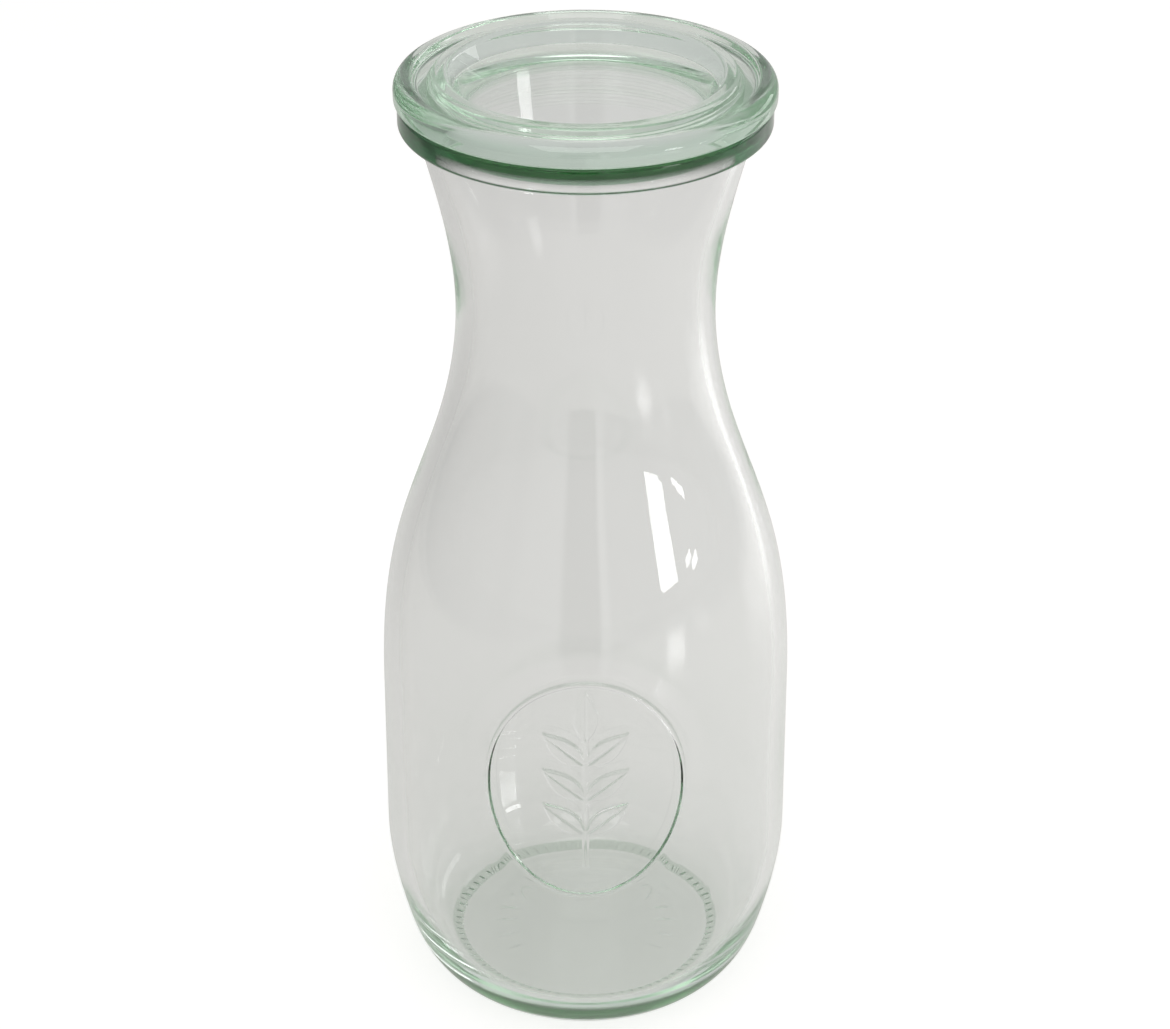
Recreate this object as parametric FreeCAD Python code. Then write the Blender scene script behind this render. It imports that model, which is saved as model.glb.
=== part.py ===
import FreeCAD, Part
import math
import os

# Half-litre glass milk bottle with a loose glass lid, in millimetres.
# +Z is up along the bottle's axis, the origin is on the surface it stands on, and -Y is the front.

# Bottle, foot and belly: each height is the rise from the station below it
BEARING_INNER_R = 22.0
BEARING_OUTER_R = 25.0
PUSH_UP = 1.2
HEEL_R = 32.2
HEEL_RISE = 4.0
LOWER_BELLY_R = 36.9
LOWER_BELLY_RISE = 11.0
BELLY_R = 39.5
BELLY_RISE = 18.0
BELLY_DRAFT = 0.3
BELLY_LENGTH = 33.0

# Bottle, shoulder and neck
SHOULDER_R = 35.75
SHOULDER_RISE = 30.0
LOWER_NECK_R = 27.3
LOWER_NECK_RISE = 25.0
WAIST_R = 23.55
WAIST_RISE = 25.0
THROAT_R = 29.1
THROAT_RISE = 30.5
THROAT_FLARE = 0.27

# Bottle, flange round the mouth
COLLAR_RISE = 1.6
LEDGE_RISE = 1.4
LEDGE_ROUND = 1.0
FLANGE_R = 32.9
FLANGE_EDGE = 4.5
FLANGE_ROUND = 0.9
MOUTH_R = 26.5
LIP_ROUND = 0.8

# Bottle, glass thickness
WALL = 3.0
HEEL_WALL = 4.6
FLOOR = 6.5
FLOOR_FLAT_R = 21.0

# Lid: heights are measured from the seat on the bottle's flange
LID_OVERHANG = 0.6
LID_EDGE = 4.2
BEAD_WIDTH = 3.1
GROOVE_DEPTH = 1.2
GROOVE_WIDTH = 3.2
RIDGE_STEP = 0.5
RIDGE_WIDTH = 2.6
DISH_R = 21.5
DISH_DEPTH = 7.0
DISH_FLOOR = 3.4
PLUG_CLEARANCE = 0.8
PLUG_TAPER = 0.4
PLUG_ROUND = 1.6
EDGE_ROUND = 2.2
SEAT_EDGE_ROUND = 0.5
BEAD_ROUND = 0.7
GROOVE_ROUND = 0.7
RIDGE_ROUND = 1.0
DISH_ROUND = 0.8
SEAT_ROUND = 0.3


def point(radius, height):
    return FreeCAD.Vector(radius, 0, height)


def line(start, end):
    return Part.LineSegment(start, end).toShape()


def smooth_curve(stations, start_direction, end_direction):
    curve = Part.BSplineCurve()
    curve.interpolate(
        Points=stations,
        InitialTangent=start_direction.normalize(),
        FinalTangent=end_direction.normalize(),
        Scale=False,
    )
    return curve


def rounded_outline(corners):
    """Edges through (radius, height, corner round) triples, with an arc at each rounded corner."""
    places = [point(radius, height) for radius, height, _ in corners]
    edges = []
    pen = places[0]
    for before, corner, after, (_, _, rounding) in zip(places, places[1:], places[2:], corners[1:]):
        to_before = (before - corner).normalize()
        to_after = (after - corner).normalize()
        half_angle = to_before.getAngle(to_after) / 2
        tangent_length = rounding / math.tan(half_angle)
        arc_start = corner + to_before * tangent_length
        arc_end = corner + to_after * tangent_length
        bisector = (to_before + to_after).normalize()
        arc_middle = corner + bisector * (rounding / math.sin(half_angle) - rounding)
        if arc_start.distanceToPoint(pen) > 1e-6:
            edges.append(line(pen, arc_start))
        edges.append(Part.Arc(arc_start, arc_middle, arc_end).toShape())
        pen = arc_end
    edges.append(line(pen, places[-1]))
    return edges


def revolve(edges):
    outline = Part.Wire(Part.__sortEdges__(edges))
    return Part.Face(outline).revolve(FreeCAD.Vector(0, 0, 0), FreeCAD.Vector(0, 0, 1), 360)


# Stations up the outside of the wall: (radius, rise from the one below)
HEEL_STATIONS = [
    (BEARING_OUTER_R, 0),
    (HEEL_R, HEEL_RISE),
    (LOWER_BELLY_R, LOWER_BELLY_RISE),
    (BELLY_R, BELLY_RISE),
]
NECK_STATIONS = [
    (BELLY_R - BELLY_DRAFT, BELLY_LENGTH),
    (SHOULDER_R, SHOULDER_RISE),
    (LOWER_NECK_R, LOWER_NECK_RISE),
    (WAIST_R, WAIST_RISE),
    (THROAT_R, THROAT_RISE),
]
THROAT_HEIGHT = sum(rise for _, rise in HEEL_STATIONS + NECK_STATIONS)
LEDGE_HEIGHT = THROAT_HEIGHT + COLLAR_RISE
RIM_HEIGHT = LEDGE_HEIGHT + LEDGE_RISE + FLANGE_EDGE


def outward():
    return FreeCAD.Vector(1, 0, 0)


def up(lean):
    return FreeCAD.Vector(lean, 0, 1)


def stacked(stations, height):
    places = []
    for radius, rise in stations:
        height += rise
        places.append(point(radius, height))
    return places


def inside(curve, stations, thickness):
    """The points of the inner wall, one glass thickness in from stations of the outer wall."""
    places = []
    for station in stations:
        tangent = curve.tangent(curve.parameter(station))[0]
        places.append(station + FreeCAD.Vector(-tangent.z, 0, tangent.x) * thickness)
    return places


def make_bottle():
    belly_lean = -BELLY_DRAFT / BELLY_LENGTH
    heel = stacked(HEEL_STATIONS, 0)
    neck = stacked(NECK_STATIONS, heel[-1].z)
    outer_heel = smooth_curve(heel, outward(), up(belly_lean))
    outer_neck = smooth_curve(neck, up(belly_lean), up(THROAT_FLARE))

    floor_edge = point(FLOOR_FLAT_R, FLOOR)
    inner_heel = [floor_edge, *inside(outer_heel, heel[1:2], HEEL_WALL), *inside(outer_heel, heel[2:], WALL)]
    inner_neck = [*inside(outer_neck, neck, WALL), point(MOUTH_R, RIM_HEIGHT - FLANGE_EDGE)]

    underside_r = (BEARING_INNER_R**2 + PUSH_UP**2) / (2 * PUSH_UP)
    halfway = BEARING_INNER_R / 2
    halfway_height = PUSH_UP - underside_r + math.sqrt(underside_r**2 - halfway**2)
    underside = Part.Arc(
        point(0, PUSH_UP), point(halfway, halfway_height), point(BEARING_INNER_R, 0)
    ).toShape()

    flange = rounded_outline(
        [
            (THROAT_R, THROAT_HEIGHT, 0),
            (THROAT_R + THROAT_FLARE * COLLAR_RISE, LEDGE_HEIGHT, LEDGE_ROUND),
            (FLANGE_R, RIM_HEIGHT - FLANGE_EDGE, FLANGE_ROUND),
            (FLANGE_R, RIM_HEIGHT, FLANGE_ROUND),
            (MOUTH_R, RIM_HEIGHT, LIP_ROUND),
            (MOUTH_R, RIM_HEIGHT - FLANGE_EDGE, 0),
        ]
    )
    edges = [
        underside,
        line(point(BEARING_INNER_R, 0), heel[0]),
        outer_heel.toShape(),
        line(heel[-1], neck[0]),
        outer_neck.toShape(),
        *flange,
        smooth_curve(inner_neck, up(belly_lean), up(0)).toShape(),
        line(inner_neck[0], inner_heel[-1]),
        smooth_curve(inner_heel, outward(), up(belly_lean)).toShape(),
        line(floor_edge, point(0, FLOOR)),
        line(point(0, FLOOR), point(0, PUSH_UP)),
    ]
    return revolve(edges)


def make_lid():
    rim_r = FLANGE_R + LID_OVERHANG
    plug_r = MOUTH_R - PLUG_CLEARANCE
    seat = RIM_HEIGHT
    bead_top = seat + LID_EDGE
    groove = bead_top - GROOVE_DEPTH
    groove_outer_r = rim_r - BEAD_WIDTH
    groove_inner_r = groove_outer_r - GROOVE_WIDTH
    ridge_top = bead_top + RIDGE_STEP
    ridge_outer_r = groove_inner_r - RIDGE_STEP
    ridge_inner_r = ridge_outer_r - RIDGE_WIDTH
    dish_floor = ridge_top - DISH_DEPTH
    underside = dish_floor - DISH_FLOOR
    outline = rounded_outline(
        [
            (0, underside, 0),
            (plug_r - PLUG_TAPER, underside, PLUG_ROUND),
            (plug_r, seat, SEAT_ROUND),
            (rim_r, seat, SEAT_EDGE_ROUND),
            (rim_r, bead_top, EDGE_ROUND),
            (groove_outer_r, bead_top, BEAD_ROUND),
            (groove_outer_r - GROOVE_ROUND, groove, GROOVE_ROUND),
            (groove_inner_r, groove, GROOVE_ROUND),
            (ridge_outer_r, ridge_top, RIDGE_ROUND),
            (ridge_inner_r, ridge_top, RIDGE_ROUND),
            (DISH_R, dish_floor, DISH_ROUND),
            (0, dish_floor, 0),
        ]
    )
    axis = line(point(0, dish_floor), point(0, underside))
    return revolve([*outline, axis])


os.makedirs("parts", exist_ok=True)
for name, solid in {"bottle": make_bottle(), "lid": make_lid()}.items():
    solid.exportStep(f"parts/{name}.step")
    print(name, solid.isValid(), len(solid.Solids), "volume ml", round(solid.Volume / 1000, 2))
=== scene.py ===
import bpy
import bmesh
import math
import numpy as np
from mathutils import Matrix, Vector, noise


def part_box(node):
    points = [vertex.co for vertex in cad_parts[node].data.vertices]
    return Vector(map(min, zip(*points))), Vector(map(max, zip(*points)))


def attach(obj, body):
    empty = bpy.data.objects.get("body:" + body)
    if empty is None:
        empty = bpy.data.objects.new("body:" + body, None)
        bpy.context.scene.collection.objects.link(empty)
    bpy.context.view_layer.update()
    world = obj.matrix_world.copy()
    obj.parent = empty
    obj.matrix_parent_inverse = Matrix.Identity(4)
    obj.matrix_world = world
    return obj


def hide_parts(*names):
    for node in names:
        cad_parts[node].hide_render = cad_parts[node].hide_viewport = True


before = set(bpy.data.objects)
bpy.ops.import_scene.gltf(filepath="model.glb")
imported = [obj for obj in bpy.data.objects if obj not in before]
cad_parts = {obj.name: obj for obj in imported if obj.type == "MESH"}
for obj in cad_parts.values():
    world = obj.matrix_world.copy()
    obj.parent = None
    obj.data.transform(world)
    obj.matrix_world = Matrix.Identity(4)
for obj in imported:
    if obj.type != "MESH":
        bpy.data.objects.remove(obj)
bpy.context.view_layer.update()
mm = 0.001
columns = 160  # faces round each turned piece
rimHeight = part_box("bottle")[1][2] / mm
print("frame loaded:", sorted(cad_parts), "rim at", round(rimHeight, 2), "mm")


# profile runs, all as (radius, height) in millimetres

runRules = {"samePlace": 1e-4, "wireWeld": 1e-5, "longFlat": 0.6, "flatMargin": 0.12}
turnedWeld = 2e-6  # metres


def smoothRun(stations, startWay, endWay, gap):
    places = np.array(stations, dtype=float)
    chord = np.linalg.norm(np.diff(places, axis=0), axis=1)
    last = len(places) - 1
    system = np.zeros((last + 1, last + 1))
    target = np.zeros((last + 1, 2))
    system[0, 0] = system[last, last] = 1
    target[0] = np.array(startWay) / np.linalg.norm(startWay)
    target[last] = np.array(endWay) / np.linalg.norm(endWay)
    for i in range(1, last):  # same bend on both sides of a station
        before, after = chord[i - 1], chord[i]
        system[i, i - 1:i + 2] = after, 2 * (before + after), before
        comingIn = after * (places[i] - places[i - 1]) / before
        goingOut = before * (places[i + 1] - places[i]) / after
        target[i] = 3 * (comingIn + goingOut)
    ways = np.linalg.solve(system, target)
    run = []
    for i in range(last):
        pieces = max(2, round(chord[i] / gap))
        for u in np.arange(pieces) / pieces:
            startShare = (1 + 2 * u) * (1 - u) ** 2
            endShare = u * u * (3 - 2 * u)
            startPull = u * (1 - u) ** 2 * chord[i]
            endPull = u * u * (u - 1) * chord[i]
            place = startShare * places[i] + endShare * places[i + 1]
            run.append(tuple(place + startPull * ways[i] + endPull * ways[i + 1]))
    run.append(tuple(places[last]))
    return run, ways


def straightRun(start, end, gap):
    start, end = np.array(start), np.array(end)
    pieces = max(1, round(math.dist(start, end) / gap))
    return [tuple(start + (end - start) * i / pieces) for i in range(pieces + 1)]


def innerStations(stations, ways, thickness):
    places = []
    for (radius, height), way in zip(stations, ways):
        out, up = way / np.hypot(*way)
        places.append((radius - up * thickness, height + out * thickness))
    return places


def joinRuns(*runs):
    profile = []
    for run in runs:
        for place in run:
            if not profile or math.dist(profile[-1], place) > runRules["samePlace"]:
                profile.append(place)
    return profile


def roundedRun(corners, bendSteps, gap):
    wire = bmesh.new()
    verts = [wire.verts.new((r, 0, z)) for r, z, _ in corners]
    for a, b in zip(verts, verts[1:]):
        wire.edges.new((a, b))
    for vert, (_, _, bend) in list(zip(verts, corners))[1:-1]:
        ways = [(edge.other_vert(vert).co - vert.co).normalized() for edge in vert.link_edges]
        setBack = bend / math.tan(ways[0].angle(ways[1]) / 2)
        bmesh.ops.bevel(wire, geom=[vert], offset=setBack, offset_type="OFFSET", segments=bendSteps,
                        profile=0.5, affect="VERTICES", clamp_overlap=False, material=-1)
    bmesh.ops.remove_doubles(wire, verts=wire.verts[:], dist=runRules["wireWeld"])
    ends = [vert for vert in wire.verts if len(vert.link_edges) == 1]
    walk = min(ends, key=lambda vert: math.dist((vert.co.x, vert.co.z), corners[0][:2]))
    previous = None
    run = []
    while walk:
        place = (walk.co.x, walk.co.z)
        if run and math.dist(run[-1], place) > runRules["longFlat"]:
            start, end = np.array(run[-1]), np.array(place)  # close rings at both ends keep a flat flat
            margin = (end - start) / np.linalg.norm(end - start) * runRules["flatMargin"]
            run += straightRun(start + margin, end - margin, gap)
        run.append(place)
        onward = [e.other_vert(walk) for e in walk.link_edges if e.other_vert(walk) is not previous]
        walk, previous = (onward[0] if onward else None), walk
    wire.free()
    return run


def turnProfile(profile):
    bm = bmesh.new()
    verts = [bm.verts.new((0, -r * mm, z * mm)) for r, z in profile]
    for a, b in zip(verts, verts[1:]):
        bm.edges.new((a, b))
    bmesh.ops.spin(bm, geom=bm.verts[:] + bm.edges[:], cent=(0, 0, 0), axis=(0, 0, 1), dvec=(0, 0, 0),
                   angle=2 * math.pi, steps=columns, use_merge=True)
    bmesh.ops.remove_doubles(bm, verts=bm.verts[:], dist=turnedWeld)
    bmesh.ops.recalc_face_normals(bm, faces=bm.faces[:])
    return bm


def finishPiece(bm, name, material, body):
    mesh = bpy.data.meshes.new(name)
    bmesh.ops.recalc_face_normals(bm, faces=bm.faces[:])
    for face in bm.faces:
        face.smooth = True
    bm.to_mesh(mesh)
    bm.free()
    piece = bpy.data.objects.new(name, mesh)
    bpy.context.scene.collection.objects.link(piece)
    mesh.materials.append(material)
    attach(piece, body)
    print(name, "faces", len(mesh.polygons))
    return piece


def roundWay(co):
    return math.hypot(co.x, co.y) / mm, math.atan2(co.x, -co.y)  # radius in mm, angle from the front


def setRound(vert, radius, angle):
    vert.co.x = radius * mm * math.sin(angle)
    vert.co.y = -radius * mm * math.cos(angle)


# glass

def product(tree, first, second):
    both = tree.nodes.new("ShaderNodeMath")
    both.operation = "MULTIPLY"
    tree.links.new(first, both.inputs[0])
    tree.links.new(second, both.inputs[1])
    return both.outputs[0]


# mask by height and radius for the glass tints: the green of thick glass, and painted shade
def tintMaskGroup():
    group = bpy.data.node_groups.new("tintMask", "ShaderNodeTree")
    for label in ("Height From", "Height To", "Radius From", "Radius To"):
        group.interface.new_socket(label, in_out="INPUT", socket_type="NodeSocketFloat")
    group.interface.new_socket("Mask", in_out="OUTPUT", socket_type="NodeSocketFloat")
    nodes, links = group.nodes, group.links
    inlet, outlet = nodes.new("NodeGroupInput"), nodes.new("NodeGroupOutput")
    coords = nodes.new("ShaderNodeTexCoord")
    split = nodes.new("ShaderNodeSeparateXYZ")
    flat = nodes.new("ShaderNodeCombineXYZ")
    radius = nodes.new("ShaderNodeVectorMath")
    radius.operation = "LENGTH"
    links.new(coords.outputs["Object"], split.inputs[0])
    links.new(split.outputs["X"], flat.inputs["X"])
    links.new(split.outputs["Y"], flat.inputs["Y"])
    links.new(flat.outputs[0], radius.inputs[0])

    def past(source, low, high):
        ramp = nodes.new("ShaderNodeMapRange")
        ramp.interpolation_type = "SMOOTHSTEP"
        links.new(source, ramp.inputs["Value"])
        links.new(inlet.outputs[low], ramp.inputs["From Min"])
        links.new(inlet.outputs[high], ramp.inputs["From Max"])
        return ramp.outputs["Result"]

    byHeight = past(split.outputs["Z"], "Height From", "Height To")
    byRadius = past(radius.outputs["Value"], "Radius From", "Radius To")
    links.new(product(group, byHeight, byRadius), outlet.inputs["Mask"])
    return group


tintMask = tintMaskGroup()


# tints the glass by zone: the green of thick glass, and painted shade at the lid joint, the heel and the
# foot of the plug
def zoneTint(tree, look):
    nodes, links = tree.nodes, tree.links
    outside = nodes.new("ShaderNodeMath")  # 1 where a ray meets the glass from the air, 0 from within
    outside.operation = "SUBTRACT"
    outside.inputs[0].default_value = 1.0
    links.new(nodes.new("ShaderNodeNewGeometry").outputs["Backfacing"], outside.inputs[1])
    facing = nodes.new("ShaderNodeLayerWeight")
    tone = None
    for zone in look["greenAndShadeZones"]:
        mask = nodes.new("ShaderNodeGroup")
        mask.node_tree = tintMask
        for label, value in zone["where"].items():
            mask.inputs[label].default_value = value
        share = mask.outputs["Mask"]
        if zone["outsideOnly"]:
            share = product(tree, share, outside.outputs[0])
        if "slant" in zone:  # deeper at a slant: green of thick glass seen edge on, with painted shade
            ramp = nodes.new("ShaderNodeMapRange")
            ramp.inputs["From Min"].default_value, ramp.inputs["From Max"].default_value = zone["slant"]
            links.new(facing.outputs["Facing"], ramp.inputs["Value"])
            share = product(tree, share, ramp.outputs["Result"])
        mix = nodes.new("ShaderNodeMix")
        mix.data_type = "RGBA"
        mix.inputs["A"].default_value = look["clear"]
        mix.inputs["B"].default_value = zone["colour"]
        if tone:
            links.new(tone, mix.inputs["A"])
        links.new(share, mix.inputs["Factor"])
        tone = mix.outputs["Result"]
    return tone


def glassMaterial(name, look):
    material = bpy.data.materials.new(name)
    material.use_nodes = True
    tree = material.node_tree
    nodes, links = tree.nodes, tree.links
    nodes.clear()
    output = nodes.new("ShaderNodeOutputMaterial")
    glass = nodes.new("ShaderNodeBsdfPrincipled")
    glass.inputs["Metallic"].default_value = 0.0
    glass.inputs["Transmission Weight"].default_value = 1.0
    glass.inputs["IOR"].default_value = look["ior"]
    glass.inputs["Roughness"].default_value = look["roughness"]
    links.new(zoneTint(tree, look), glass.inputs["Base Color"])
    absorb = nodes.new("ShaderNodeVolumeAbsorption")
    absorb.inputs["Color"].default_value = look["depthColour"]
    absorb.inputs["Density"].default_value = look["depthDensity"]
    clear = nodes.new("ShaderNodeBsdfTransparent")  # lets light through, so the floor below stays lit
    clear.inputs["Color"].default_value = look["shade"]
    path = nodes.new("ShaderNodeLightPath")
    surface = glass.outputs["BSDF"]
    for ray in ("Is Diffuse Ray", "Is Shadow Ray"):
        pick = nodes.new("ShaderNodeMixShader")
        links.new(path.outputs[ray], pick.inputs["Fac"])
        links.new(surface, pick.inputs[1])
        links.new(clear.outputs[0], pick.inputs[2])
        surface = pick.outputs[0]
    links.new(surface, output.inputs["Surface"])
    links.new(absorb.outputs["Volume"], output.inputs["Volume"])
    return material


# clear glass for both pieces, then the zones tinted green and darker, in metres: green where the glass is
# thick, and painted shade at the lid joint, the heel and the foot of the plug
glassLook = {
    "ior": 1.52, "roughness": 0.0, "clear": (1.0, 1.0, 1.0, 1.0), "shade": (0.903, 0.914, 0.903, 1.0),
    "depthColour": (0.28, 0.58, 0.33, 1.0), "depthDensity": 4.0,
}
bottleLook = {**glassLook, "greenAndShadeZones": [
    {"where": {"Height From": 0.1801, "Height To": 0.1823, "Radius From": 0.0315, "Radius To": 0.0326},
     "colour": (0.003, 0.032, 0.004, 1.0), "outsideOnly": True},  # flange: green of thick glass, with painted shade of the joint under the lid
    {"where": {"Height From": 0.0105, "Height To": 0.0085, "Radius From": 0.0322, "Radius To": 0.0328},
     "colour": (0.02, 0.08, 0.022, 1.0), "outsideOnly": True},  # heel: green of thick glass, with painted shade of the floor under the foot, on the near side
    {"where": {"Height From": 0.1775, "Height To": 0.1790, "Radius From": 0.0294, "Radius To": 0.0300},
     "colour": (0.003, 0.03, 0.006, 1.0), "outsideOnly": True, "slant": (0.2, 0.45)},  # ledge seen edge on: green of thick glass, with painted shade at the sides of the lid joint
    {"where": {"Height From": 0.0011, "Height To": 0.0007, "Radius From": 0.0252, "Radius To": 0.0256},
     "colour": (0.56, 0.65, 0.57, 1.0), "outsideOnly": False},  # milled ring
]}
lidLook = {**glassLook, "depthColour": (0.25, 0.65, 0.32, 1.0), "depthDensity": 9.0, "greenAndShadeZones": [
    {"where": {"Height From": 0.17, "Height To": 0.171, "Radius From": 0.021, "Radius To": 0.026},
     "colour": (0.925, 0.96, 0.93, 1.0), "outsideOnly": False},  # ringed edge
    {"where": {"Height From": 0.1885, "Height To": 0.1868, "Radius From": 0.0315, "Radius To": 0.0328},
     "colour": (0.66, 0.82, 0.69, 1.0), "outsideOnly": True},  # outer wall: green of thick glass, with painted shade of the joint above the flange
    {"where": {"Height From": 0.1830, "Height To": 0.1822, "Radius From": 0.0203, "Radius To": 0.0213},
     "colour": (0.74, 0.83, 0.76, 1.0), "outsideOnly": False},  # foot of the plug: green of thick glass, with painted shade that dims a bright lamp line seen through the lid
]}
bottleGlass = glassMaterial("bottleGlass", bottleLook)
lidGlass = glassMaterial("lidGlass", lidLook)
print("glass mixed:", bottleGlass.name, lidGlass.name)


# bottle: its sizes, and the gaps between the rings of its profile

bottleShape = {
    "bearing": (22.0, 25.0), "pushUp": 1.2,
    "heel": [(25.0, 0.0), (32.2, 4.0), (36.9, 15.0), (39.5, 33.0)],
    "neck": [(39.2, 66.0), (35.75, 96.0), (27.3, 121.0), (23.55, 146.0), (29.1, 176.5)],
    "bellyLean": -0.3 / 33.0, "throatFlare": 0.27,
    "collarRise": 1.6, "ledgeRound": 1.0,
    "flangeRadius": 32.9, "flangeEdge": 4.5, "flangeRound": 0.9,
    "mouthRadius": 26.5, "lipRound": 0.8,
    "wall": 3.0, "heelWall": 4.6, "floor": 6.5, "floorFlat": 21.0,
    "domeRings": 32, "bearingGap": 0.7, "footGap": 0.45, "footTo": 30.3, "heelGap": 1.4,
    "bellyGap": 1.4, "neckGap": 2.1, "flangeGap": 1.5, "flangeBend": 8,
    "neckInGap": 2.8, "bellyInGap": 2.6, "heelInGap": 0.75, "floorGap": 2.5, "wallGap": 0.05,
}


def bottleProfile(s):
    belly = (s["bellyLean"], 1)
    throat = (s["throatFlare"], 1)
    edge = rimHeight - s["flangeEdge"]
    foot = smoothRun(s["heel"], (1, 0), belly, s["footGap"])[0]
    heel, heelWays = smoothRun(s["heel"], (1, 0), belly, s["heelGap"])
    heelOut = [place for place in foot if place[0] < s["footTo"]]  # closer rings for the milling
    heelOut += [place for place in heel if place[0] > s["footTo"]]
    neckOut, neckWays = smoothRun(s["neck"], belly, throat, s["neckGap"])
    heelIn = [(s["floorFlat"], s["floor"])]
    heelIn += innerStations(s["heel"][1:2], heelWays[1:2], s["heelWall"])
    heelIn += innerStations(s["heel"][2:], heelWays[2:], s["wall"])
    neckIn = innerStations(s["neck"], neckWays, s["wall"]) + [(s["mouthRadius"], edge)]
    inner, outer = s["bearing"]
    domeRadius = (inner ** 2 + s["pushUp"] ** 2) / (2 * s["pushUp"])
    domeMiddle = s["pushUp"] - domeRadius
    rings = np.linspace(0, inner, s["domeRings"])
    dome = [(r, domeMiddle + math.sqrt(domeRadius ** 2 - r * r)) for r in rings]
    throatRadius, throatHeight = s["neck"][-1]
    collarRadius = throatRadius + s["throatFlare"] * s["collarRise"]
    flange = roundedRun([
        (throatRadius, throatHeight, 0),
        (collarRadius, throatHeight + s["collarRise"], s["ledgeRound"]),
        (s["flangeRadius"], edge, s["flangeRound"]),
        (s["flangeRadius"], rimHeight, s["flangeRound"]),
        (s["mouthRadius"], rimHeight, s["lipRound"]),
        (s["mouthRadius"], edge, 0)], s["flangeBend"], s["flangeGap"])
    return joinRuns(
        dome, straightRun((inner, 0), (outer, 0), s["bearingGap"]), heelOut,
        straightRun(s["heel"][-1], s["neck"][0], s["bellyGap"]), neckOut, flange,
        smoothRun(neckIn, belly, (0, 1), s["neckInGap"])[0][::-1],
        straightRun(neckIn[0], heelIn[-1], s["bellyInGap"]),
        smoothRun(heelIn, (1, 0), belly, s["heelInGap"])[0][::-1],
        straightRun(heelIn[0], (0, s["floor"]), s["floorGap"]))


def outerRadius(s):
    belly = (s["bellyLean"], 1)
    heel = smoothRun(s["heel"], (1, 0), belly, s["wallGap"])[0]
    neck = smoothRun(s["neck"], belly, (s["throatFlare"], 1), s["wallGap"])[0]
    wall = np.array(heel + neck)
    return lambda height: float(np.interp(height, wall[:, 1], wall[:, 0]))


# moulded oval plate on the front: a bead round a leafy sprig, on ground pressed in below the wall
plateShape = {
    "height": 63.0, "halfWide": 19.2, "halfTall": 23.0, "ground": 0.5, "groundFade": 6.0,
    "beadHalf": 0.5, "beadFrom": 0.3,
    "leafLong": 10.5, "leafWide": 4.6, "leafEdge": 0.4, "leafTop": 0.44, "leafFull": 0.85, "leafLean": 52.0,
    "veinHalf": 0.22, "veinFloor": 0.25,
    "pairs": 3, "firstPair": -9.0, "pairStep": 7.6, "topRoot": 0.5,
    "stemHalf": 0.55, "stemFrom": -16.5, "stemShort": 2.0, "stemShare": 0.8,
    "skin": 1.0, "margin": 0.8, "cuts": 3, "fineCuts": 2, "climb": 0.11,
    "cornerReach": 1.5, "sideReach": 0.7,
}


def roundEdge(inside, bend):
    u = 1 - min(1.0, max(0.0, inside / bend))
    return math.sqrt(1 - u * u)  # quarter round, upright at its foot


def leafRise(p, x, y, rootY, lean):
    along = (x * math.sin(lean) + (y - rootY) * math.cos(lean)) / p["leafLong"]
    across = abs(x * math.cos(lean) - (y - rootY) * math.sin(lean))
    if not 0 < along < 1:
        return 0.0
    half = p["leafWide"] / 2 * math.sin(math.pi * along ** p["leafFull"])  # fullest below its middle
    vein = p["veinHalf"] * (1 - along)
    blade = roundEdge(half - across, p["leafEdge"])
    groove = p["veinFloor"] + roundEdge(across - vein, p["leafEdge"])
    return p["leafTop"] * min(blade, groove)


def plateRise(p, x, y):
    ring = math.hypot(x / p["halfWide"], y / p["halfTall"])
    off = -p["halfWide"]  # distance outside the middle of the bead
    if ring > p["beadFrom"]:
        steep = math.hypot(x / p["halfWide"] ** 2, y / p["halfTall"] ** 2) / ring
        off = (ring - 1) / steep
    u = min(1.0, max(0.0, off / p["groundFade"]))
    ground = -p["ground"] * (1 - u * u * (3 - 2 * u))
    rise = -ground * roundEdge(p["beadHalf"] - abs(off), p["beadHalf"])
    top = p["firstPair"] + p["pairStep"] * p["pairs"] - p["stemShort"]
    if p["stemFrom"] < y < top:
        rise = max(rise, p["stemShare"] * p["leafTop"] * roundEdge(p["stemHalf"] - abs(x), p["stemHalf"]))
    for i in range(p["pairs"]):
        rootY = p["firstPair"] + p["pairStep"] * i
        rise = max(rise, leafRise(p, abs(x), y, rootY, math.radians(p["leafLean"])))
    return ground + max(rise, leafRise(p, x, y, top - p["topRoot"], 0.0))


def pressPlate(bm, p, radiusAt):
    around = bottleShape["heel"][-1][0]
    wide = (p["halfWide"] + p["groundFade"]) / around
    tall = p["halfTall"] + p["groundFade"]

    def onPlate(place, margin):
        radius, angle = roundWay(place)
        height = place.z / mm
        return (abs(angle) < wide + margin / around and abs(height - p["height"]) < tall + margin
                and radius > radiusAt(height) - p["skin"])

    def riseAt(place):
        return plateRise(p, roundWay(place)[1] * around, place.z / mm - p["height"])

    patch = set()
    for face in bm.faces:
        if onPlate(face.calc_center_median(), p["margin"]):
            patch.update(face.edges)
    bmesh.ops.subdivide_edges(bm, edges=list(patch), cuts=p["cuts"], use_grid_fill=True)
    relief = set()
    for face in bm.faces:  # finer faces where the relief climbs
        middle = face.calc_center_median()
        if len(face.verts) == 4 and onPlate(middle, 0.0):
            tries = [middle + (vert.co - middle) * p["cornerReach"] for vert in face.verts]
            for edge in face.edges:
                start, end = edge.verts
                tries.append(middle + (start.co + end.co - 2 * middle) * p["sideReach"])
            rises = [riseAt(place) for place in tries]
            if max(rises) - min(rises) > p["climb"]:
                relief.update(face.edges)
    bmesh.ops.subdivide_edges(bm, edges=list(relief), cuts=p["fineCuts"], use_grid_fill=True)
    for vert in bm.verts:
        if onPlate(vert.co, 0.0):
            setRound(vert, radiusAt(vert.co.z / mm) + riseAt(vert.co), roundWay(vert.co)[1])


# milled ring on the heel, just outside the flat that the bottle stands on
millShape = {
    "from": 25.3, "to": 27.8, "below": 1.5, "teeth": 80, "depth": 0.35, "fade": 0.5,
    "cuts": 3, "sameRadius": 1e-3,
}


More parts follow.
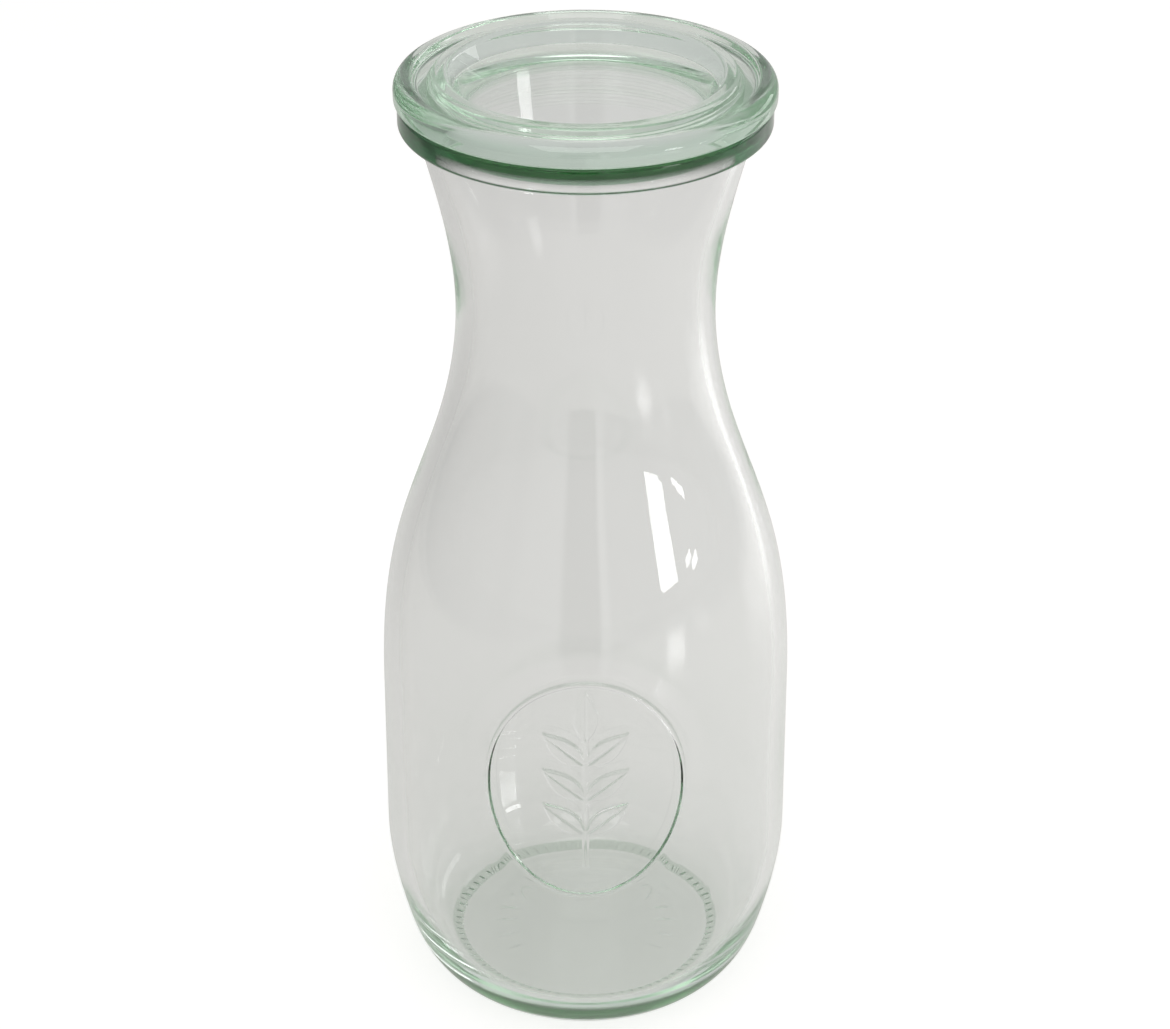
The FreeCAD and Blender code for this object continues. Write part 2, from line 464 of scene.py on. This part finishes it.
def millFoot(bm, m):
    ring = []
    for edge in bm.edges:
        startRadius, endRadius = (roundWay(vert.co)[0] for vert in edge.verts)
        goesRound = abs(startRadius - endRadius) < m["sameRadius"]
        if goesRound and edge.verts[0].co.z < m["below"] * mm and m["from"] < startRadius < m["to"]:
            ring.append(edge)
    bmesh.ops.subdivide_edges(bm, edges=ring, cuts=m["cuts"], use_grid_fill=True)
    for vert in bm.verts:
        radius, angle = roundWay(vert.co)
        if vert.co.z < m["below"] * mm and m["from"] < radius < m["to"]:
            fade = min(1.0, (radius - m["from"]) / m["fade"], (m["to"] - radius) / m["fade"])
            wave = 0.5 - 0.5 * math.cos(angle * m["teeth"])
            vert.co.z += m["depth"] * fade * wave * mm


# plain mould ticks under the base, in three groups, with middle, step and section counted in columns
tickShape = {
    "from": 14.4, "to": 18.6, "below": 2.5, "rise": 0.2, "blunt": 0.5,
    "step": 7, "groups": [(-40, 5), (40, 5), (0, 3)], "section": {-1: 0.5, 0: 1.0, 1: 0.5},
}


def tickBase(bm, t):
    ticks = {}
    for middle, count in t["groups"]:
        for i in range(count):
            centre = round(middle - (count - 1) * t["step"] / 2 + i * t["step"])
            ticks.update({(centre + j) % columns: share for j, share in t["section"].items()})
    for vert in bm.verts:
        radius, angle = roundWay(vert.co)
        share = ticks.get(round(angle / (2 * math.pi) * columns) % columns, 0.0)
        if share and vert.co.z < t["below"] * mm and t["from"] < radius < t["to"]:
            along = (radius - t["from"]) / (t["to"] - t["from"])
            vert.co.z += t["rise"] * share * math.sin(math.pi * along) ** t["blunt"] * mm


# slow waves that blowing leaves on the inside of the wall, longer up it than round it
waveShape = {
    "depth": 0.14, "across": 60.0, "upward": 0.6, "skin": 1.0, "low": 12.0, "high": 172.0, "fade": 14.0,
}


def waveInside(bm, w, radiusAt):
    for vert in bm.verts:
        radius, angle = roundWay(vert.co)
        height = vert.co.z / mm
        if w["low"] < height < w["high"] and radius < radiusAt(height) - w["skin"]:
            fade = min(1.0, (height - w["low"]) / w["fade"], (w["high"] - height) / w["fade"])
            sway = noise.noise(Vector((vert.co.x, vert.co.y, vert.co.z * w["upward"])) * w["across"])
            setRound(vert, radius + w["depth"] * fade * sway, angle)


def makeBottle():
    bm = turnProfile(bottleProfile(bottleShape))
    radiusAt = outerRadius(bottleShape)
    pressPlate(bm, plateShape, radiusAt)
    tickBase(bm, tickShape)
    millFoot(bm, millShape)
    waveInside(bm, waveShape, radiusAt)
    piece = finishPiece(bm, "bottleBody", bottleGlass, "bottle")
    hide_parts("bottle")


# lid

lidShape = {
    "rimRadius": 33.5, "edge": 4.2, "edgeRound": 2.2, "seatEdgeRound": 0.5,
    "beadWidth": 3.1, "beadRound": 0.7,
    "grooveDepth": 1.2, "grooveWidth": 3.2, "grooveRound": 0.7,
    "ridgeStep": 0.5, "ridgeWidth": 2.6, "ridgeRound": 1.0,
    "dishRadius": 21.5, "dishDepth": 7.0, "dishRound": 0.8, "dishFloor": 3.4,
    "plugRadius": 25.7, "plugTaper": 0.4, "plugRound": 1.6, "seatRound": 0.3, "airGap": 0.06,
    "bendSteps": 12, "ringGap": 2.0,
}


def makeLid():
    s = lidShape
    seat = rimHeight + s["airGap"]
    beadTop = rimHeight + s["edge"]
    groove = beadTop - s["grooveDepth"]
    grooveOut = s["rimRadius"] - s["beadWidth"]
    grooveIn = grooveOut - s["grooveWidth"]
    ridgeTop = beadTop + s["ridgeStep"]
    ridgeOut = grooveIn - s["ridgeStep"]
    ridgeIn = ridgeOut - s["ridgeWidth"]
    dishFloor = ridgeTop - s["dishDepth"]
    under = dishFloor - s["dishFloor"]
    profile = roundedRun([
        (0, under, 0), (s["plugRadius"] - s["plugTaper"], under, s["plugRound"]),
        (s["plugRadius"], seat, s["seatRound"]), (s["rimRadius"], seat, s["seatEdgeRound"]),
        (s["rimRadius"], beadTop, s["edgeRound"]), (grooveOut, beadTop, s["beadRound"]),
        (grooveOut - s["grooveRound"], groove, s["grooveRound"]), (grooveIn, groove, s["grooveRound"]),
        (ridgeOut, ridgeTop, s["ridgeRound"]), (ridgeIn, ridgeTop, s["ridgeRound"]),
        (s["dishRadius"], dishFloor, s["dishRound"]), (0, dishFloor, 0)], s["bendSteps"], s["ringGap"])
    piece = finishPiece(turnProfile(profile), "lidDisc", lidGlass, "lid")
    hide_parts("lid")


makeBottle()
makeLid()


# floor, light and camera

# the room round the table, by direction in degrees: 0 is the camera's side and 90 the picture's right
roomLook = {
    "tones": [
        (-180, 0.60), (-150, 0.46), (-128, 0.40), (-112, 0.36), (-92, 0.36), (-75, 0.42), (-60, 0.52),
        (-48, 0.46), (-38, 0.62), (-16, 0.68), (-12.5, 0.06), (7.5, 0.06), (9.5, 0.95), (12.5, 0.90),
        (15, 0.48), (40, 0.50), (65, 0.66), (95, 0.66), (115, 0.68), (180, 0.64),
    ],
    "dome": 0.62, "domeFrom": 0.2, "domeTo": 0.5,
}


def roomToneGroup(look):
    group = bpy.data.node_groups.new("roomTone", "ShaderNodeTree")
    group.interface.new_socket("Way", in_out="INPUT", socket_type="NodeSocketVector")
    group.interface.new_socket("Tone", in_out="OUTPUT", socket_type="NodeSocketColor")
    nodes, links = group.nodes, group.links
    inlet, outlet = nodes.new("NodeGroupInput"), nodes.new("NodeGroupOutput")
    split = nodes.new("ShaderNodeSeparateXYZ")
    front = nodes.new("ShaderNodeMath")
    front.operation = "MULTIPLY"
    front.inputs[1].default_value = -1.0
    angle = nodes.new("ShaderNodeMath")
    angle.operation = "ARCTAN2"
    share = nodes.new("ShaderNodeMapRange")
    share.inputs["From Min"].default_value = -math.pi
    share.inputs["From Max"].default_value = math.pi
    ramp = nodes.new("ShaderNodeValToRGB")
    stops = ramp.color_ramp.elements
    while len(stops) < len(look["tones"]):
        stops.new(0.5)
    for stop, (degrees, tone) in zip(stops, look["tones"]):
        stop.position = degrees / 360 + 0.5
        stop.color = (tone, tone, tone, 1.0)
    links.new(inlet.outputs["Way"], split.inputs[0])
    links.new(split.outputs["Y"], front.inputs[0])
    links.new(split.outputs["X"], angle.inputs[0])
    links.new(front.outputs[0], angle.inputs[1])
    links.new(angle.outputs[0], share.inputs["Value"])
    links.new(share.outputs["Result"], ramp.inputs["Fac"])
    links.new(ramp.outputs["Color"], outlet.inputs["Tone"])
    return group


roomTone = roomToneGroup(roomLook)

# a pale table, with the room's own floor beyond its edges; its tone is painted light: lighter to the right,
# where the lamps are, and darker to the left
tableLook = {
    "paper": (0.72, 0.71, 0.70, 1.0), "fill": 0.46, "drop": 0.15 * mm, "half": 2.5, "gloss": 0.2,
    "left": (0.73, 0.72, 0.70, 1.0), "right": (0.94, 0.93, 0.91, 1.0), "turn": 0.25,
    "near": 1.05, "nearTo": 0.10, "farFrom": 0.26,
    "edges": [("X", -0.44, -0.40), ("X", 0.54, 0.50), ("Y", -0.66, -0.62)],
}


def tableTone(tree):
    nodes, links = tree.nodes, tree.links
    coords = nodes.new("ShaderNodeTexCoord")
    split = nodes.new("ShaderNodeSeparateXYZ")
    links.new(coords.outputs["Object"], split.inputs[0])

    def ramp(axis, low, high):
        step = nodes.new("ShaderNodeMapRange")
        step.interpolation_type = "SMOOTHSTEP"
        step.inputs["From Min"].default_value = low
        step.inputs["From Max"].default_value = high
        links.new(split.outputs[axis], step.inputs["Value"])
        return step.outputs["Result"]

    onTable = None
    for edge in tableLook["edges"]:
        side = ramp(*edge)
        onTable = product(tree, onTable, side) if onTable else side
    # painted light: the table lighter on the right than on the left
    across = nodes.new("ShaderNodeMix")
    across.data_type = "RGBA"
    across.inputs["A"].default_value = tableLook["left"]
    across.inputs["B"].default_value = tableLook["right"]
    links.new(ramp("X", -tableLook["turn"], tableLook["turn"]), across.inputs["Factor"])
    away = nodes.new("ShaderNodeMapRange")  # painted pool of light: a little paler up to and close behind the bottle
    away.inputs["From Min"].default_value = tableLook["nearTo"]
    away.inputs["From Max"].default_value = tableLook["farFrom"]
    away.inputs["To Min"].default_value = tableLook["near"]
    away.inputs["To Max"].default_value = 1.0
    links.new(split.outputs["Y"], away.inputs["Value"])
    table = nodes.new("ShaderNodeVectorMath")
    table.operation = "SCALE"
    links.new(across.outputs["Result"], table.inputs[0])
    links.new(away.outputs["Result"], table.inputs["Scale"])
    room = nodes.new("ShaderNodeGroup")
    room.node_tree = roomTone
    links.new(coords.outputs["Object"], room.inputs["Way"])
    tone = nodes.new("ShaderNodeMix")
    tone.data_type = "RGBA"
    links.new(onTable, tone.inputs["Factor"])
    links.new(room.outputs["Tone"], tone.inputs["A"])
    links.new(table.outputs[0], tone.inputs["B"])
    return tone.outputs["Result"]


def floorMaterial():
    material = bpy.data.materials.new("floorPaper")
    material.use_nodes = True
    tree = material.node_tree
    nodes, links = tree.nodes, tree.links
    nodes.clear()
    output = nodes.new("ShaderNodeOutputMaterial")
    top = nodes.new("ShaderNodeBsdfPrincipled")
    top.inputs["Roughness"].default_value = tableLook["gloss"]
    links.new(tableTone(tree), top.inputs["Base Color"])
    paper = nodes.new("ShaderNodeBsdfDiffuse")
    paper.inputs["Color"].default_value = tableLook["paper"]
    fill = nodes.new("ShaderNodeEmission")
    fill.inputs["Strength"].default_value = tableLook["fill"]
    lit = nodes.new("ShaderNodeAddShader")
    links.new(paper.outputs[0], lit.inputs[0])
    links.new(fill.outputs[0], lit.inputs[1])
    path = nodes.new("ShaderNodeLightPath")
    pick = nodes.new("ShaderNodeMixShader")  # plain white paper to the camera
    links.new(path.outputs["Is Camera Ray"], pick.inputs["Fac"])
    links.new(top.outputs[0], pick.inputs[1])
    links.new(lit.outputs[0], pick.inputs[2])
    links.new(pick.outputs[0], output.inputs["Surface"])
    return material


def makeFloor():
    bm = bmesh.new()
    bmesh.ops.create_grid(bm, x_segments=1, y_segments=1, size=tableLook["half"])
    bmesh.ops.translate(bm, verts=bm.verts[:], vec=(0, 0, -tableLook["drop"]))
    mesh = bpy.data.meshes.new("floor")
    bm.to_mesh(mesh)
    bm.free()
    floor = bpy.data.objects.new("floor", mesh)
    bpy.context.scene.collection.objects.link(floor)
    mesh.materials.append(floorMaterial())


def makeWorld():
    world = bpy.data.worlds.new("studioAir")
    world.use_nodes = True
    nodes, links = world.node_tree.nodes, world.node_tree.links
    nodes.clear()
    output = nodes.new("ShaderNodeOutputWorld")
    coords = nodes.new("ShaderNodeTexCoord")
    split = nodes.new("ShaderNodeSeparateXYZ")
    height = nodes.new("ShaderNodeMapRange")
    height.interpolation_type = "SMOOTHSTEP"
    height.inputs["From Min"].default_value = roomLook["domeFrom"]
    height.inputs["From Max"].default_value = roomLook["domeTo"]
    room = nodes.new("ShaderNodeGroup")
    room.node_tree = roomTone
    tone = nodes.new("ShaderNodeMix")
    tone.data_type = "RGBA"
    tone.inputs["B"].default_value = (roomLook["dome"], roomLook["dome"], roomLook["dome"], 1.0)
    air = nodes.new("ShaderNodeBackground")
    white = nodes.new("ShaderNodeBackground")
    white.inputs["Color"].default_value = (1, 1, 1, 1)
    path = nodes.new("ShaderNodeLightPath")
    mix = nodes.new("ShaderNodeMixShader")
    links.new(coords.outputs["Generated"], split.inputs[0])
    links.new(coords.outputs["Generated"], room.inputs["Way"])
    links.new(split.outputs["Z"], height.inputs["Value"])
    links.new(height.outputs["Result"], tone.inputs["Factor"])
    links.new(room.outputs["Tone"], tone.inputs["A"])
    links.new(tone.outputs["Result"], air.inputs["Color"])
    links.new(path.outputs["Is Camera Ray"], mix.inputs["Fac"])
    links.new(air.outputs[0], mix.inputs[1])
    links.new(white.outputs[0], mix.inputs[2])
    links.new(mix.outputs[0], output.inputs["Surface"])
    bpy.context.scene.world = world


lampLook = {
    "window": {"azimuth": 50.4, "elevation": 5.5, "distance": 1.327, "size": (0.25, 0.15), "glow": 9.0},
    "windowPane": {"azimuth": 69, "elevation": 1.73, "distance": 1.327, "size": (0.11, 0.024), "glow": 9.0},
    "rightPanel": {"azimuth": 123, "elevation": 12, "distance": 1.5, "size": (1.0, 0.34), "glow": 2.0},
    "overhead": {"azimuth": 0, "elevation": 60, "distance": 1.6, "size": (1.2, 1.2), "glow": 1.8},
}
lampAim = Vector((0, 0, 0.09))  # about half way up the bottle


def makeLamp(name, look):
    data = bpy.data.lights.new(name, "AREA")
    data.shape = "RECTANGLE"
    data.size, data.size_y = look["size"]
    data.energy = look["glow"] * math.pi * look["size"][0] * look["size"][1]  # glow is the panel's radiance
    lamp = bpy.data.objects.new(name, data)
    az, el = math.radians(look["azimuth"]), math.radians(look["elevation"])
    way = Vector((math.sin(az) * math.cos(el), -math.cos(az) * math.cos(el), math.sin(el)))
    lamp.location = way * look["distance"] + lampAim
    lamp.rotation_euler = way.to_track_quat("Z", "Y").to_euler()
    bpy.context.scene.collection.objects.link(lamp)


cameraFit = {
    "away": 459.0, "height": 364.4, "down": 29.96, "focalPixels": 2803.7, "frameWide": 1170,
    "sensorWide": 36.0, "shift": -0.0005, "clip": 0.01,
}


def makeCamera():
    data = bpy.data.cameras.new("photoCamera")
    data.sensor_width = cameraFit["sensorWide"]
    data.sensor_fit = "HORIZONTAL"
    data.lens = cameraFit["focalPixels"] / cameraFit["frameWide"] * data.sensor_width
    data.shift_x = cameraFit["shift"]
    data.clip_start = cameraFit["clip"]
    camera = bpy.data.objects.new("photoCamera", data)
    camera.location = (0, -cameraFit["away"] * mm, cameraFit["height"] * mm)
    camera.rotation_euler = (math.radians(90 - cameraFit["down"]), 0, 0)
    bpy.context.scene.collection.objects.link(camera)
    bpy.context.scene.camera = camera


makeFloor()
makeWorld()
for name, look in lampLook.items():
    makeLamp(name, look)
makeCamera()
bounces = 200  # enough for light that crosses glass wall after glass wall
scene = bpy.context.scene
scene.view_settings.view_transform = "Standard"
scene.cycles.max_bounces = bounces
scene.cycles.transmission_bounces = bounces
scene.cycles.glossy_bounces = bounces
scene.cycles.caustics_refractive = False
scene.cycles.caustics_reflective = False
print("stage set")
